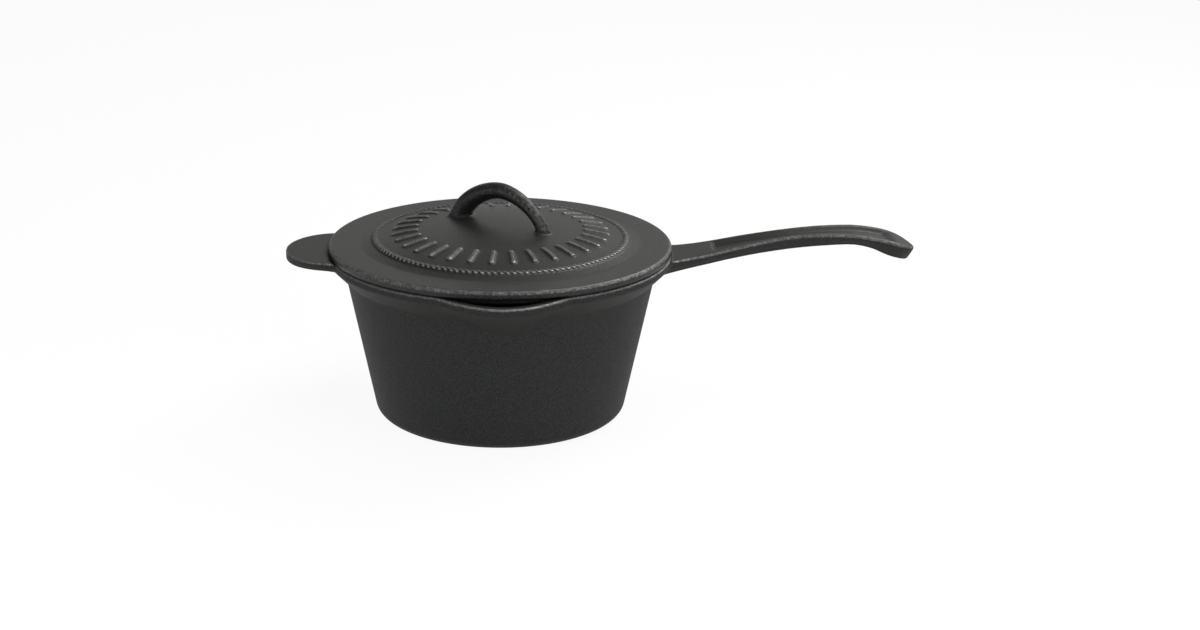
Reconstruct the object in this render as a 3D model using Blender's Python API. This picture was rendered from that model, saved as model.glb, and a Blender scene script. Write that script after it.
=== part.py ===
"""Cast-iron saucepan with two pouring lips, a long handle, a helper tab and a loose lid.

Metres, +Z up. The origin is the middle of the flat base, on the surface that the pan stands on.
The long handle runs along +X and the helper tab along -X. The pouring lips face -Y and +Y.
Each of the two pieces is one casting, so each is one closed body.
"""
import math
from collections import namedtuple

import bmesh
import bpy

# Bowl: a tapered wall that flares into an upright rim band
WALL_FOOT_RADIUS = 0.0737
WALL_TAPER = 0.2027
WALL_LEAN_DEGREES = math.degrees(math.atan(WALL_TAPER))
WALL_SLANT = math.hypot(1.0, WALL_TAPER)
BASE_CORNER_RADIUS = 0.006
FLARE_START_HEIGHT = 0.0829
RIM_HEIGHT = 0.0973
RIM_BAND_HEIGHT = 0.0043
RIM_OUTER_RADIUS = 0.1003
RIM_INNER_RADIUS = 0.0945
RIM_EDGE_ROUND = 0.0012
WALL_THICKNESS = 0.0045
FLOOR_THICKNESS = 0.005
INNER_CORNER_RADIUS = 0.012
FLARE_CREASE = 0.0016
BAND_CREASE = 0.0010
OUTER_WALL_ROWS = (0.028, 0.052)
INNER_WALL_ROW = 0.045
BOWL_COLUMNS = 88
LIP_CROWDING = 0.2

# Pouring lips: the rim is drawn out and down, and a chin under it runs down onto the wall
LIP_REACH = 0.009
LIP_DIP = 0.0016
LIP_HALF_ANGLE = math.radians(22.0)
LIP_ROUNDNESS = 1.25
CHIN_DROP = 0.0084
CHIN_HALF_ANGLE = math.radians(16.5)
CHIN_ROUNDNESS = 2.0

# Long handle: the sections that a pattern maker would draw, from the rim to the round end
Station = namedtuple("Station", "distance half_width top thickness")
HANDLE_STATIONS = (
    Station(0.0970, 0.0206, 0.0947, 0.0105),
    Station(0.1040, 0.0171, 0.0954, 0.0093),
    Station(0.1200, 0.0146, 0.0980, 0.0074),
    Station(0.1460, 0.0118, 0.1035, 0.0077),
    Station(0.1700, 0.0099, 0.1076, 0.0084),
    Station(0.1900, 0.0111, 0.1092, 0.0078),
    Station(0.2080, 0.0130, 0.1092, 0.0068),
    Station(0.2200, 0.0147, 0.1078, 0.0073),
    Station(0.2300, 0.0156, 0.1057, 0.0090),
    Station(0.2385, 0.0156, 0.1029, 0.0088),
    Station(0.2460, 0.0156, 0.0991, 0.0074),
)
HANDLE_END_CENTRE = 0.2302
HANDLE_END_RADIUS = 0.0156
HANDLE_END_LEAN = 0.0042
HANDLE_LEAN_START = 0.200
HANDLE_LEAN_SHARE = 0.55
HANDLE_DRAFT = 0.82
HANDLE_EDGE_ROUND = 0.0020
HANDLE_SECTIONS = 34
HANDLE_END_SECTIONS = 8

# Shallow trough along the top of the handle, between two edge ridges
TROUGH_START = 0.1245
TROUGH_END = 0.2340
TROUGH_RAMP = 0.0024
TROUGH_CLOSE = 0.0060
TROUGH_DEPTH = 0.0026
RIDGE_WIDTH = 0.0032
FULL_RIDGE_HALF_WIDTH = 0.009
FULL_EDGE_HALF_WIDTH = 0.006

# Helper tab: a flat half ellipse with a filleted underside, sunk a little where the lid lies over it
TAB_CENTRE = 0.097
TAB_LENGTH = 0.0282
TAB_HALF_WIDTH = 0.0325
TAB_TOP = 0.0980
TAB_ROOT_SINK = 0.0007
TAB_THICKNESS = 0.0055
TAB_FILLET = 0.0066
TAB_DRAFT = 0.95
TAB_EDGE_ROUND = 0.0012
TAB_SECTIONS = 16

# Where handle and tab start, inside the iron of the rim, and how far round their ends are followed
ROOT_RADIUS = 0.0974
ROOT_LEAN = 0.0070
ROOT_BLEND = 0.028
END_TURN = math.radians(86.0)

# Lid: a flat ring round a shallow dome, with a locating ring under it
LID_RADIUS = 0.1003
LID_TOP = 0.1027
LID_UPPER_EDGE_ROUND = 0.0022
LID_LOWER_EDGE_ROUND = 0.0010
LID_GAP = 0.0003
DOME_RADIUS = 0.082
DOME_RISE = 0.0113
DOME_THICKNESS = 0.0042
DOME_SPHERE = (DOME_RADIUS ** 2 + DOME_RISE ** 2) / (2.0 * DOME_RISE)
DOME_CREASE = 0.0010
DOME_POLE_RADIUS = 0.004
DOME_UPPER_ROWS = (0.066, 0.048, 0.030, 0.013)
DOME_LOWER_ROWS = (0.030, 0.055, 0.076)
LOCATING_RING_OUTER = 0.0920
LOCATING_RING_INNER = 0.0885
LOCATING_RING_DEPTH = 0.0050
LOCATING_RING_EDGE = 0.0009
LOCATING_RING_DRAFT = 0.0020
LID_COLUMNS = 80

# Raised ornament on the dome: a border ring and a ring of radial bars, low enough to stack a lid on
BORDER_RADIUS = 0.0735
BORDER_WIDTH = 0.0040
BORDER_HEIGHT = 0.0010
BAR_COUNT = 32
BAR_START = 0.0480
BAR_END = 0.0640
BAR_WIDTH = 0.0032
BAR_HEIGHT = 0.0013
BAR_BEVEL = 0.0007
BAR_SINK = 0.0012

# Lid loop: an arched bar, cast on, that runs across the dome's middle and thins towards one foot
LOOP_AZIMUTH = math.radians(-37.5)
LOOP_HALF_SPAN = 0.0311
LOOP_TOP = 0.1372
LOOP_FOOT = 0.1087
LOOP_ARCH_POWER = 1.15
LOOP_WIDTH = 0.0094
LOOP_THICKNESS = 0.0093
LOOP_TAPER = 0.27
LOOP_FOOT_FLARE = 0.30
LOOP_FLARE_HEIGHT = 0.0040
LOOP_END_TURN = math.radians(1.0)
LOOP_SECTIONS = 30
LOOP_SIDES = 12

# Finish of the iron
SMOOTH_ANGLE = math.radians(32.0)
IRON_ROUGHNESS = 0.45
IRON_METALLIC = 0.0
PAN_COLOUR = (0.011, 0.011, 0.011)
LID_COLOUR = (0.014, 0.014, 0.014)


def clear_scene():
    for thing in list(bpy.data.objects):
        bpy.data.objects.remove(thing, do_unlink=True)


def smoothstep(start, end, value):
    share = min(max((value - start) / (end - start), 0.0), 1.0)
    return share * share * (3.0 - 2.0 * share)


def polar(radius, azimuth, height):
    """A point at a distance from the upright axis."""
    return (radius * math.cos(azimuth), radius * math.sin(azimuth), height)


def arc(centre_r, centre_z, radius, start_degrees, end_degrees, steps):
    """Points of a round corner, as (distance from the axis, height)."""
    points = []
    for step in range(steps + 1):
        angle = math.radians(start_degrees + (end_degrees - start_degrees) * step / steps)
        points.append((centre_r + radius * math.cos(angle), centre_z + radius * math.sin(angle)))
    return points


def close_end(mesh_builder, row):
    """Close a ring with strips that join each point to the one across, so a curved end stays curved."""
    count = len(row)
    for side in (1, -1):
        for index in range(count // 4):
            places = (side * index, side * (index + 1))
            across = (count // 2 - side * (index + 1), count // 2 - side * index)
            corners = [row[place % count] for place in places + across]
            mesh_builder.faces.new(list(dict.fromkeys(corners)))


def stretch_skin(mesh_builder, rings):
    """A closed skin over rings of equal point counts."""
    rows = [[mesh_builder.verts.new(point) for point in ring] for ring in rings]
    count = len(rows[0])
    for row, following in zip(rows, rows[1:]):
        for index in range(count):
            after = (index + 1) % count
            mesh_builder.faces.new((row[index], row[after], following[after], following[index]))
    close_end(mesh_builder, rows[0])
    close_end(mesh_builder, rows[-1])


def make_body(name, skins):
    """One object with a closed skin for each list of rings."""
    mesh_builder = bmesh.new()
    for rings in skins:
        stretch_skin(mesh_builder, rings)
    bmesh.ops.recalc_face_normals(mesh_builder, faces=mesh_builder.faces)
    mesh = bpy.data.meshes.new(name)
    mesh_builder.to_mesh(mesh)
    mesh_builder.free()
    body = bpy.data.objects.new(name, mesh)
    bpy.context.scene.collection.objects.link(body)
    return body


def finish(body, colour):
    """Give a finished casting its smooth shading and its own material."""
    body.data.shade_smooth()
    body.data.set_sharp_from_angle(angle=SMOOTH_ANGLE)
    material = bpy.data.materials.new(body.name + "_iron")
    material.use_nodes = True
    shader = material.node_tree.nodes["Principled BSDF"]
    shader.inputs["Base Color"].default_value = (*colour, 1.0)
    shader.inputs["Roughness"].default_value = IRON_ROUGHNESS
    shader.inputs["Metallic"].default_value = IRON_METALLIC
    body.data.materials.clear()
    body.data.materials.append(material)


def cast_on(body, addition):
    """Join a second solid to a body, as if both were poured in one mould."""
    union = body.modifiers.new("cast_on_" + addition.name, "BOOLEAN")
    union.operation = "UNION"
    union.solver = "EXACT"
    union.object = addition
    addition.hide_render = True
    addition.display_type = "WIRE"


def wall_radius(height):
    return WALL_FOOT_RADIUS + WALL_TAPER * height


def lip_share(azimuth, half_angle, power):
    """How far a lip acts at an azimuth: 1 in the middle of either lip, 0 beyond its half angle."""
    offset = abs(abs(math.remainder(azimuth, 2.0 * math.pi)) - math.pi / 2.0)
    if offset >= half_angle:
        return 0.0
    return math.cos(0.5 * math.pi * offset / half_angle) ** power


def bowl_section(azimuth):
    """The bowl's wall cut at one azimuth, from the standing face up, over the rim and down inside."""
    lip = lip_share(azimuth, LIP_HALF_ANGLE, LIP_ROUNDNESS)
    chin = lip_share(azimuth, CHIN_HALF_ANGLE, CHIN_ROUNDNESS)
    top = RIM_HEIGHT - LIP_DIP * lip
    outer = RIM_OUTER_RADIUS + LIP_REACH * lip
    inner = RIM_INNER_RADIUS + LIP_REACH * lip
    foot = FLARE_START_HEIGHT - CHIN_DROP * chin
    band = top - RIM_BAND_HEIGHT
    corner = BASE_CORNER_RADIUS
    corner_r = wall_radius(corner) - corner * WALL_SLANT
    points = arc(corner_r, corner, corner, -90.0, -WALL_LEAN_DEGREES, 4)
    points += [(wall_radius(height), height) for height in OUTER_WALL_ROWS]
    # A shallow fillet where the wall turns out into the flare
    crease = FLARE_CREASE
    flare_slope = (outer - wall_radius(foot)) / (band - foot)
    points.append((wall_radius(foot - crease), foot - crease))
    points.append((wall_radius(foot) + 0.18 * crease * flare_slope, foot + 0.12 * crease))
    points.append((wall_radius(foot) + crease * flare_slope, foot + crease))
    # The upright band round the rim
    points.append((outer - BAND_CREASE * flare_slope, band - BAND_CREASE))
    points.append((outer - 0.1 * BAND_CREASE, band + 0.2 * BAND_CREASE))
    points.append((outer, band + 1.2 * BAND_CREASE))
    edge = RIM_EDGE_ROUND
    points += arc(outer - edge, top - edge, edge, 0.0, 90.0, 3)
    points += arc(inner + edge, top - edge, edge, 90.0, 180.0, 3)
    # Inside: a short band, the flare and the wall again, a wall's thickness in
    points.append((inner, band + BAND_CREASE))
    inset = WALL_THICKNESS * WALL_SLANT
    inner_foot = foot + 0.75 * crease
    points.append((wall_radius(inner_foot) - inset + crease, inner_foot + 0.75 * crease))
    points.append((wall_radius(inner_foot - crease) - inset, inner_foot - crease))
    points.append((wall_radius(INNER_WALL_ROW) - inset, INNER_WALL_ROW))
    radius = INNER_CORNER_RADIUS
    centre_z = FLOOR_THICKNESS + radius
    centre_r = wall_radius(centre_z) - inset - radius * WALL_SLANT
    points += arc(centre_r, centre_z, radius, -WALL_LEAN_DEGREES, -90.0, 5)
    return points


def make_bowl():
    """Sections at azimuths that crowd together at the lips, turned into rings round the axis."""
    azimuths = []
    for column in range(BOWL_COLUMNS):
        even = 2.0 * math.pi * column / BOWL_COLUMNS
        azimuths.append(even + LIP_CROWDING * math.sin(2.0 * even))
    sections = [bowl_section(azimuth) for azimuth in azimuths]
    rings = []
    for level in range(len(sections[0])):
        rings.append([polar(section[level][0], azimuth, section[level][1])
                      for azimuth, section in zip(azimuths, sections)])
    return make_body("pan", [rings])


def station_at(distance):
    """A handle station at any distance, on a smooth curve through the stations drawn above."""
    last = len(HANDLE_STATIONS) - 2
    left = max(i for i in range(last + 1) if i == 0 or HANDLE_STATIONS[i].distance <= distance)
    before = HANDLE_STATIONS[max(left - 1, 0)]
    start, end = HANDLE_STATIONS[left], HANDLE_STATIONS[left + 1]
    after = HANDLE_STATIONS[min(left + 2, last + 1)]
    length = end.distance - start.distance
    share = (distance - start.distance) / length
    cube, square = share ** 3, share ** 2
    values = []
    for field in range(1, len(start)):
        slope_in = (end[field] - before[field]) / (end.distance - before.distance) * length
        slope_out = (after[field] - start[field]) / (after.distance - start.distance) * length
        value = (2.0 * cube - 3.0 * square + 1.0) * start[field]
        value += (cube - 2.0 * square + share) * slope_in
        value += (3.0 * square - 2.0 * cube) * end[field]
        value += (cube - square) * slope_out
        values.append(value)
    return Station(distance, *values)


def arm_outline(half, base, depth, trough, edge_round):
    """Half of an arm's section as (distance sideways, drop), from its top's middle to its underside's."""
    edge = edge_round * min(1.0, half / FULL_EDGE_HALF_WIDTH)
    ridge = RIDGE_WIDTH * min(1.0, half / FULL_RIDGE_HALF_WIDTH)
    floor_edge = half - edge - ridge
    return [
        (0.0, trough),
        (0.55 * floor_edge, trough),
        (floor_edge, 0.75 * trough),
        (floor_edge + 0.45 * ridge, 0.12 * trough),
        (half - edge, 0.0),
        (half - 0.3 * edge, 0.3 * edge),
        (half, edge),
        (base + 0.5 * (half - base), 0.62 * depth),
        (base, depth - edge),
        (base - 0.3 * edge, depth - 0.3 * edge),
        (base - edge, depth),
        (0.5 * base, depth),
        (0.0, depth),
    ]


def arm_ring(station, draft, trough, edge_round, lean, bend, side):
    """One upright section of an arm that leaves the rim: flat or troughed top, tapered flanks.

    lean carries the underside back towards the pan, and bend curves the section with the rim.
    side is 1 for the handle on +X and -1 for the tab on -X.
    """
    half, depth = station.half_width, station.thickness
    profile = arm_outline(half, half * draft, depth, trough, edge_round)
    outline = profile + [(-y, drop) for y, drop in reversed(profile[1:-1])]
    at_edge = math.sqrt(ROOT_RADIUS ** 2 - half ** 2)
    ring = []
    for y, drop in outline:
        x = station.distance - lean * drop / depth
        x += bend * (math.sqrt(ROOT_RADIUS ** 2 - y ** 2) - at_edge)
        ring.append((side * x, side * y, station.top - drop))
    return ring


def trough_depth(distance):
    """The trough's depth at a distance: a ramp down at its start and up again at its end."""
    opening = smoothstep(TROUGH_START, TROUGH_START + TROUGH_RAMP, distance)
    closing = 1.0 - smoothstep(TROUGH_END - TROUGH_CLOSE, TROUGH_END, distance)
    return TROUGH_DEPTH * opening * closing


def make_handle():
    """The long handle: a slab at the rim, a troughed neck, and a round end that thickens downward."""
    root = HANDLE_STATIONS[0]
    root_edge = math.sqrt(ROOT_RADIUS ** 2 - root.half_width ** 2)
    rings = []
    for step in range(HANDLE_SECTIONS):
        distance = root_edge + (HANDLE_END_CENTRE - root_edge) * step / HANDLE_SECTIONS
        bend = 1.0 - smoothstep(root_edge, root_edge + ROOT_BLEND, distance)
        station = station_at(max(distance, root.distance))._replace(distance=distance)
        end_lean = HANDLE_LEAN_SHARE * smoothstep(HANDLE_LEAN_START, HANDLE_END_CENTRE, distance)
        lean = ROOT_LEAN * bend + HANDLE_END_LEAN * end_lean
        trough = trough_depth(distance)
        rings.append(arm_ring(station, HANDLE_DRAFT, trough, HANDLE_EDGE_ROUND, lean, bend, 1))
    for step in range(HANDLE_END_SECTIONS):
        turn = END_TURN * step / (HANDLE_END_SECTIONS - 1)
        distance = HANDLE_END_CENTRE + HANDLE_END_RADIUS * math.sin(turn)
        station = station_at(distance)._replace(half_width=HANDLE_END_RADIUS * math.cos(turn))
        lean = HANDLE_END_LEAN * (HANDLE_LEAN_SHARE + (1.0 - HANDLE_LEAN_SHARE) * math.sin(turn))
        trough = trough_depth(distance)
        rings.append(arm_ring(station, HANDLE_DRAFT, trough, HANDLE_EDGE_ROUND, lean, 0.0, 1))
    return make_body("handle_solid", [rings])


def make_tab():
    """The helper tab: clear of the lid at its root, its underside curved down into the flare."""
    root_edge = math.sqrt(ROOT_RADIUS ** 2 - TAB_HALF_WIDTH ** 2)
    outlines = [(root_edge, TAB_HALF_WIDTH, RIM_HEIGHT - TAB_ROOT_SINK)]
    for step in range(TAB_SECTIONS):
        turn = END_TURN * step / (TAB_SECTIONS - 1)
        distance = TAB_CENTRE + TAB_LENGTH * math.sin(turn)
        outlines.append((distance, TAB_HALF_WIDTH * math.cos(turn), TAB_TOP))
    rings = []
    for distance, half_width, top in outlines:
        bend = 1.0 - smoothstep(root_edge, root_edge + ROOT_BLEND, distance)
        fall = max(0.0, 1.0 - (distance - root_edge) / (2.0 * TAB_FILLET))
        thickness = TAB_THICKNESS + TAB_FILLET * (1.0 - math.sqrt(1.0 - fall ** 2))
        station = Station(distance, half_width, top, thickness)
        rings.append(arm_ring(station, TAB_DRAFT, 0.0, TAB_EDGE_ROUND, ROOT_LEAN * bend, bend, -1))
    return make_body("tab_solid", [rings])


def dome_height(radius):
    """Height of the lid's upper face on the dome, a shallow cap of a sphere."""
    return LID_TOP + DOME_RISE - DOME_SPHERE + math.sqrt(DOME_SPHERE ** 2 - radius ** 2)


def lid_profile():
    """The lid's section from the middle of its underside, out round the edge and in over the dome."""
    underside = RIM_HEIGHT + LID_GAP
    ring_foot = underside - LOCATING_RING_DEPTH
    ring_edge = LOCATING_RING_EDGE
    points = [(r, dome_height(r) - DOME_THICKNESS) for r in (DOME_POLE_RADIUS, *DOME_LOWER_ROWS)]
    points.append((LOCATING_RING_INNER - LOCATING_RING_DRAFT, underside))
    points += arc(LOCATING_RING_INNER + ring_edge, ring_foot + ring_edge, ring_edge, 180.0, 270.0, 1)
    points += arc(LOCATING_RING_OUTER - ring_edge, ring_foot + ring_edge, ring_edge, 270.0, 360.0, 1)
    points.append((LOCATING_RING_OUTER, underside))
    lower, upper = LID_LOWER_EDGE_ROUND, LID_UPPER_EDGE_ROUND
    points += arc(LID_RADIUS - lower, underside + lower, lower, -90.0, 0.0, 2)
    points += arc(LID_RADIUS - upper, LID_TOP - upper, upper, 0.0, 90.0, 4)
    points.append((DOME_RADIUS + DOME_CREASE, LID_TOP))
    points.append((DOME_RADIUS - DOME_CREASE, dome_height(DOME_RADIUS - DOME_CREASE)))
    # The raised border, as a low ring with sloping sides
    for share, lift in ((0.5, 0.0), (0.25, BORDER_HEIGHT), (-0.25, BORDER_HEIGHT), (-0.5, 0.0)):
        radius = BORDER_RADIUS + share * BORDER_WIDTH
        points.append((radius, dome_height(radius) + lift))
    points += [(r, dome_height(r)) for r in (*DOME_UPPER_ROWS, DOME_POLE_RADIUS)]
    return points


def make_lid():
    turns = [2.0 * math.pi * column / LID_COLUMNS for column in range(LID_COLUMNS)]
    rings = [[polar(radius, turn, height) for turn in turns] for radius, height in lid_profile()]
    return make_body("lid", [rings])


def make_bars():
    """The ring of radial bars on the dome, each narrower at its top, as a mould needs it."""
    skins = []
    for place in range(BAR_COUNT):
        azimuth = 2.0 * math.pi * (place + 0.5) / BAR_COUNT
        rings = []
        for inset, lift in ((0.0, -BAR_SINK), (0.0, 0.0), (BAR_BEVEL, BAR_HEIGHT)):
            half = 0.5 * BAR_WIDTH - inset
            ring = []
            for radius, side in ((BAR_START + inset, -1), (BAR_END - inset, -1),
                                 (BAR_END - inset, 1), (BAR_START + inset, 1)):
                ring.append(polar(radius, azimuth + side * half / radius, dome_height(radius) + lift))
            rings.append(ring)
        skins.append(rings)
    return make_body("bars_solid", skins)


def make_loop():
    """A round bar swept over an arch, thinner towards the handle's side and spread at both feet."""
    rise = LOOP_TOP - 0.5 * LOOP_THICKNESS - LOOP_FOOT
    along = (math.cos(LOOP_AZIMUTH), math.sin(LOOP_AZIMUTH))
    rings = []
    for step in range(LOOP_SECTIONS + 1):
        turn = LOOP_END_TURN + (math.pi - 2.0 * LOOP_END_TURN) * step / LOOP_SECTIONS
        cosine, sine = math.cos(turn), math.sin(turn)
        share = math.copysign(abs(cosine) ** LOOP_ARCH_POWER, cosine)
        reach = LOOP_HALF_SPAN * share
        height = LOOP_FOOT + rise * sine ** LOOP_ARCH_POWER
        # The arch's outward direction, square to its tangent
        steepness = abs(cosine) ** (LOOP_ARCH_POWER - 1.0)
        out_reach = rise * sine ** (LOOP_ARCH_POWER - 1.0) * cosine
        out_height = LOOP_HALF_SPAN * steepness * sine
        length = math.hypot(out_reach, out_height)
        spread = 1.0 + LOOP_FOOT_FLARE * math.exp((LOOP_FOOT - height) / LOOP_FLARE_HEIGHT)
        size = spread * (1.0 - LOOP_TAPER * share)
        ring = []
        for side in range(LOOP_SIDES):
            angle = 2.0 * math.pi * side / LOOP_SIDES
            across = 0.5 * LOOP_WIDTH * size * math.cos(angle)
            outward = 0.5 * LOOP_THICKNESS * size * math.sin(angle)
            place = reach + outward * out_reach / length
            x = place * along[0] - across * along[1]
            y = place * along[1] + across * along[0]
            ring.append((x, y, height + outward * out_height / length))
        rings.append(ring)
    return make_body("loop_solid", [rings])


def main():
    clear_scene()
    pan = make_bowl()
    cast_on(pan, make_handle())
    cast_on(pan, make_tab())
    finish(pan, PAN_COLOUR)
    lid = make_lid()
    cast_on(lid, make_bars())
    cast_on(lid, make_loop())
    finish(lid, LID_COLOUR)


main()
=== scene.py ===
# %% [markdown]
# A cast-iron saucepan with a loose lid
#
# The real object is two castings: a pan, poured with its long handle, helper tab and pouring lips in one,
# and a lid with an arched loop. Each starts here as clean design surfaces, a revolved bowl, lofted arms and
# a swept bar. A foundry's mould then does to them what sand does: it fuses them, rounds their edges and
# fills their corners. A voxel remesh and a small Geometry Nodes tree play that mould.

# %% Load the frame
import math

import bmesh
import bpy
from mathutils import Matrix, Vector


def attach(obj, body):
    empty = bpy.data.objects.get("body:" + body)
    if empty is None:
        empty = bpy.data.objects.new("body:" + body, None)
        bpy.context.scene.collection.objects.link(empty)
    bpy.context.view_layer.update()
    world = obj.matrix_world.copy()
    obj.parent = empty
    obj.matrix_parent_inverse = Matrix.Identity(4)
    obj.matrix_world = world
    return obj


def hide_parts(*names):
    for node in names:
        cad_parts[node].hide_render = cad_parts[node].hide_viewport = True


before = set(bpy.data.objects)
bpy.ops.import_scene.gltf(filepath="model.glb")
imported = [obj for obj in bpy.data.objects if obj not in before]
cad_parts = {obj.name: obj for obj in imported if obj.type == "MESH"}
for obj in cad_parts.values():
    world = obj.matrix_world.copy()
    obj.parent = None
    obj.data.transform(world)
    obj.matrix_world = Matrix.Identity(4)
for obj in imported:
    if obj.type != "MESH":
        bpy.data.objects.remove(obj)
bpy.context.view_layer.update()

# %% [markdown]
# The camera
#
# The photograph was taken from a little above the rim, in front of a pouring lip, with a mild telephoto
# lens. Its position and turn were worked out from the ellipses of the lid and the base, so an object that
# is built at its real size falls on the photograph's own outline.

# %% Place the camera
PHOTO_WIDTH = 1200
FOCAL_LENGTH_PIXELS = 1842.5
SENSOR_WIDTH = 36.0
CAMERA_BACK = 1.0413
CAMERA_HEIGHT = 0.4046
CAMERA_YAW = -0.05661
CAMERA_PITCH = -0.32222
CAMERA_ROLL = -0.01965
HANDLE_TURN = math.radians(0.75)
NEAREST_SEEN = 0.05


def place_camera():
    """The handle pointed 0.75 degrees away from square to the view, so the camera is turned instead."""
    lens = bpy.data.cameras.new("photo_camera")
    lens.sensor_width = SENSOR_WIDTH
    lens.lens = FOCAL_LENGTH_PIXELS * SENSOR_WIDTH / PHOTO_WIDTH
    lens.clip_start = NEAREST_SEEN
    camera = bpy.data.objects.new("photo_camera", lens)
    bpy.context.scene.collection.objects.link(camera)
    turn = Matrix.Rotation(-HANDLE_TURN, 4, "Z")
    aim = Matrix.Rotation(CAMERA_YAW, 4, "Z") @ Matrix.Rotation(CAMERA_PITCH, 4, "X")
    aim = aim @ Matrix.Rotation(CAMERA_ROLL, 4, "Y") @ Matrix.Rotation(math.radians(90.0), 4, "X")
    stand = Matrix.Translation(Vector((0.0, -CAMERA_BACK, CAMERA_HEIGHT)))
    camera.matrix_world = turn @ stand @ aim
    bpy.context.scene.camera = camera
    return camera


camera = place_camera()
print("camera at", [round(value, 3) for value in camera.matrix_world.translation])

# %% [markdown]
# Small helpers for building node trees
#
# A Geometry Nodes tree is a drawing of a rule. Written out node by node it gets long, so a few helpers keep
# it readable: they make an empty tree with named inputs, add a node and feed it, and add the Math and vector
# nodes that come up again and again. The last ones run a tree on an object of its own and keep the plain
# mesh. A modifier's inputs are set by each socket's identifier, because two may share a name.

# %% Helpers for node trees
SOCKET_TYPES = {"geometry": "NodeSocketGeometry", "float": "NodeSocketFloat", "int": "NodeSocketInt",
                "vector": "NodeSocketVector", "material": "NodeSocketMaterial"}


def new_geometry_tree(name, inputs):
    """An empty tree; inputs maps each name to (kind, default or None)."""
    tree = bpy.data.node_groups.new(name, "GeometryNodeTree")
    for label, (kind, default) in inputs.items():
        socket = tree.interface.new_socket(name=label, in_out="INPUT", socket_type=SOCKET_TYPES[kind])
        if default is not None:
            socket.default_value = default
    tree.interface.new_socket(name="Geometry", in_out="OUTPUT", socket_type=SOCKET_TYPES["geometry"])
    start = tree.nodes.new("NodeGroupInput")
    end = tree.nodes.new("NodeGroupOutput")
    return tree, start, end


def feed(tree, socket, value):
    """Link a socket to another one, or set its value."""
    if isinstance(value, bpy.types.NodeSocket):
        tree.links.new(value, socket)
    else:
        socket.default_value = value


def add_node(tree, kind, settings=None, **inputs):
    """A node with its properties set and its inputs fed; an input's spaces are written as underscores."""
    node = tree.nodes.new(kind)
    for name, value in (settings or {}).items():
        setattr(node, name, value)
    for name, value in inputs.items():
        feed(tree, node.inputs[name.replace("_", " ")], value)
    return node


def add_math(tree, operation, *values, clamp=False):
    """The result of a Math node on the given values."""
    node = tree.nodes.new("ShaderNodeMath")
    node.operation = operation
    node.use_clamp = clamp
    for place, value in enumerate(values):
        feed(tree, node.inputs[place], value)
    return node.outputs[0]


def split_xyz(tree, vector):
    return add_node(tree, "ShaderNodeSeparateXYZ", Vector=vector).outputs


def join_xyz(tree, x=0.0, y=0.0, z=0.0):
    return add_node(tree, "ShaderNodeCombineXYZ", X=x, Y=y, Z=z).outputs[0]


def own_position(tree):
    return add_node(tree, "GeometryNodeInputPosition").outputs[0]


def value_socket(node):
    """The Value input in use; a node for several kinds of data has one for each kind."""
    return next(socket for socket in node.inputs if socket.name == "Value" and socket.enabled)


# %% Helpers to run a tree
def end_tree(tree, start, end, geometry):
    """Every tree ends the same way: its instances made real, then its material set."""
    real = add_node(tree, "GeometryNodeRealizeInstances", Geometry=geometry)
    painted = add_node(tree, "GeometryNodeSetMaterial", Geometry=real.outputs[0],
                       Material=start.outputs["Material"])
    tree.links.new(painted.outputs[0], end.inputs[0])


def set_inputs(modifier, tree, values):
    """Set a modifier's inputs by the identifiers of their sockets."""
    for item in tree.interface.items_tree:
        if item.item_type == "SOCKET" and item.in_out == "INPUT" and item.name in values:
            modifier[item.identifier] = values[item.name]


def mesh_from(source, name):
    """A plain mesh object from what a source's modifiers make; the source is then thrown away."""
    depsgraph = bpy.context.evaluated_depsgraph_get()
    mesh = bpy.data.meshes.new_from_object(source.evaluated_get(depsgraph), depsgraph=depsgraph)
    mesh.name = name
    bpy.data.objects.remove(source, do_unlink=True)
    made = bpy.data.objects.new(name, mesh)
    bpy.context.scene.collection.objects.link(made)
    return made


def run_tree(tree, values, name, start_mesh=None):
    """Evaluate a tree on an object of its own and keep the plain mesh."""
    mesh = start_mesh or bpy.data.meshes.new(name + "_start")
    source = bpy.data.objects.new(name + "_source", mesh)
    bpy.context.scene.collection.objects.link(source)
    modifier = source.modifiers.new("rule", "NODES")
    modifier.node_group = tree
    set_inputs(modifier, tree, values)
    made = mesh_from(source, name)
    print(name, "made by nodes:", len(made.data.polygons), "faces")
    return made


# %% [markdown]
# Seasoned cast iron
#
# Baked oil turns iron matt black, and the mould gives it its skin. Faces that stand upright drag sand when
# the pattern is drawn out, so they come out pebbled, and faces that lie flat come out smoother. The first
# node group tells the two apart by which way a face looks, and makes the pebbles. The second turns a
# measure of how far an edge stands out, made further down, into the places that hands rub bare, kept by
# facing to where the lamps' highlights fall, so that the rubbed metal is in part a painted highlight.

# %% Helpers for shader groups
def new_shader_group(name, inputs, outputs):
    """An empty group; inputs maps each name to its default, None for a vector."""
    tree = bpy.data.node_groups.new(name, "ShaderNodeTree")
    for label, default in inputs.items():
        kind = "vector" if default is None else "float"
        socket = tree.interface.new_socket(name=label, in_out="INPUT", socket_type=SOCKET_TYPES[kind])
        if default is not None:
            socket.default_value = default
    for label in outputs:
        tree.interface.new_socket(name=label, in_out="OUTPUT", socket_type=SOCKET_TYPES["float"])
    return tree, tree.nodes.new("NodeGroupInput").outputs, tree.nodes.new("NodeGroupOutput").inputs


def noise(tree, place, size, detail, roughness):
    """A noise whose bumps are about one size apart, in metres."""
    scale = add_math(tree, "DIVIDE", 1.0, size)
    return add_node(tree, "ShaderNodeTexNoise", {"normalize": True}, Vector=place, Scale=scale,
                    Detail=detail, Roughness=roughness).outputs[0]


def span(tree, value, low, high, new_low=0.0, new_high=1.0):
    """A value carried from one range to another and kept inside it; low may be the larger one."""
    return add_node(tree, "ShaderNodeMapRange", Value=value, From_Min=low, From_Max=high, To_Min=new_low,
                    To_Max=new_high).outputs[0]


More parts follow.
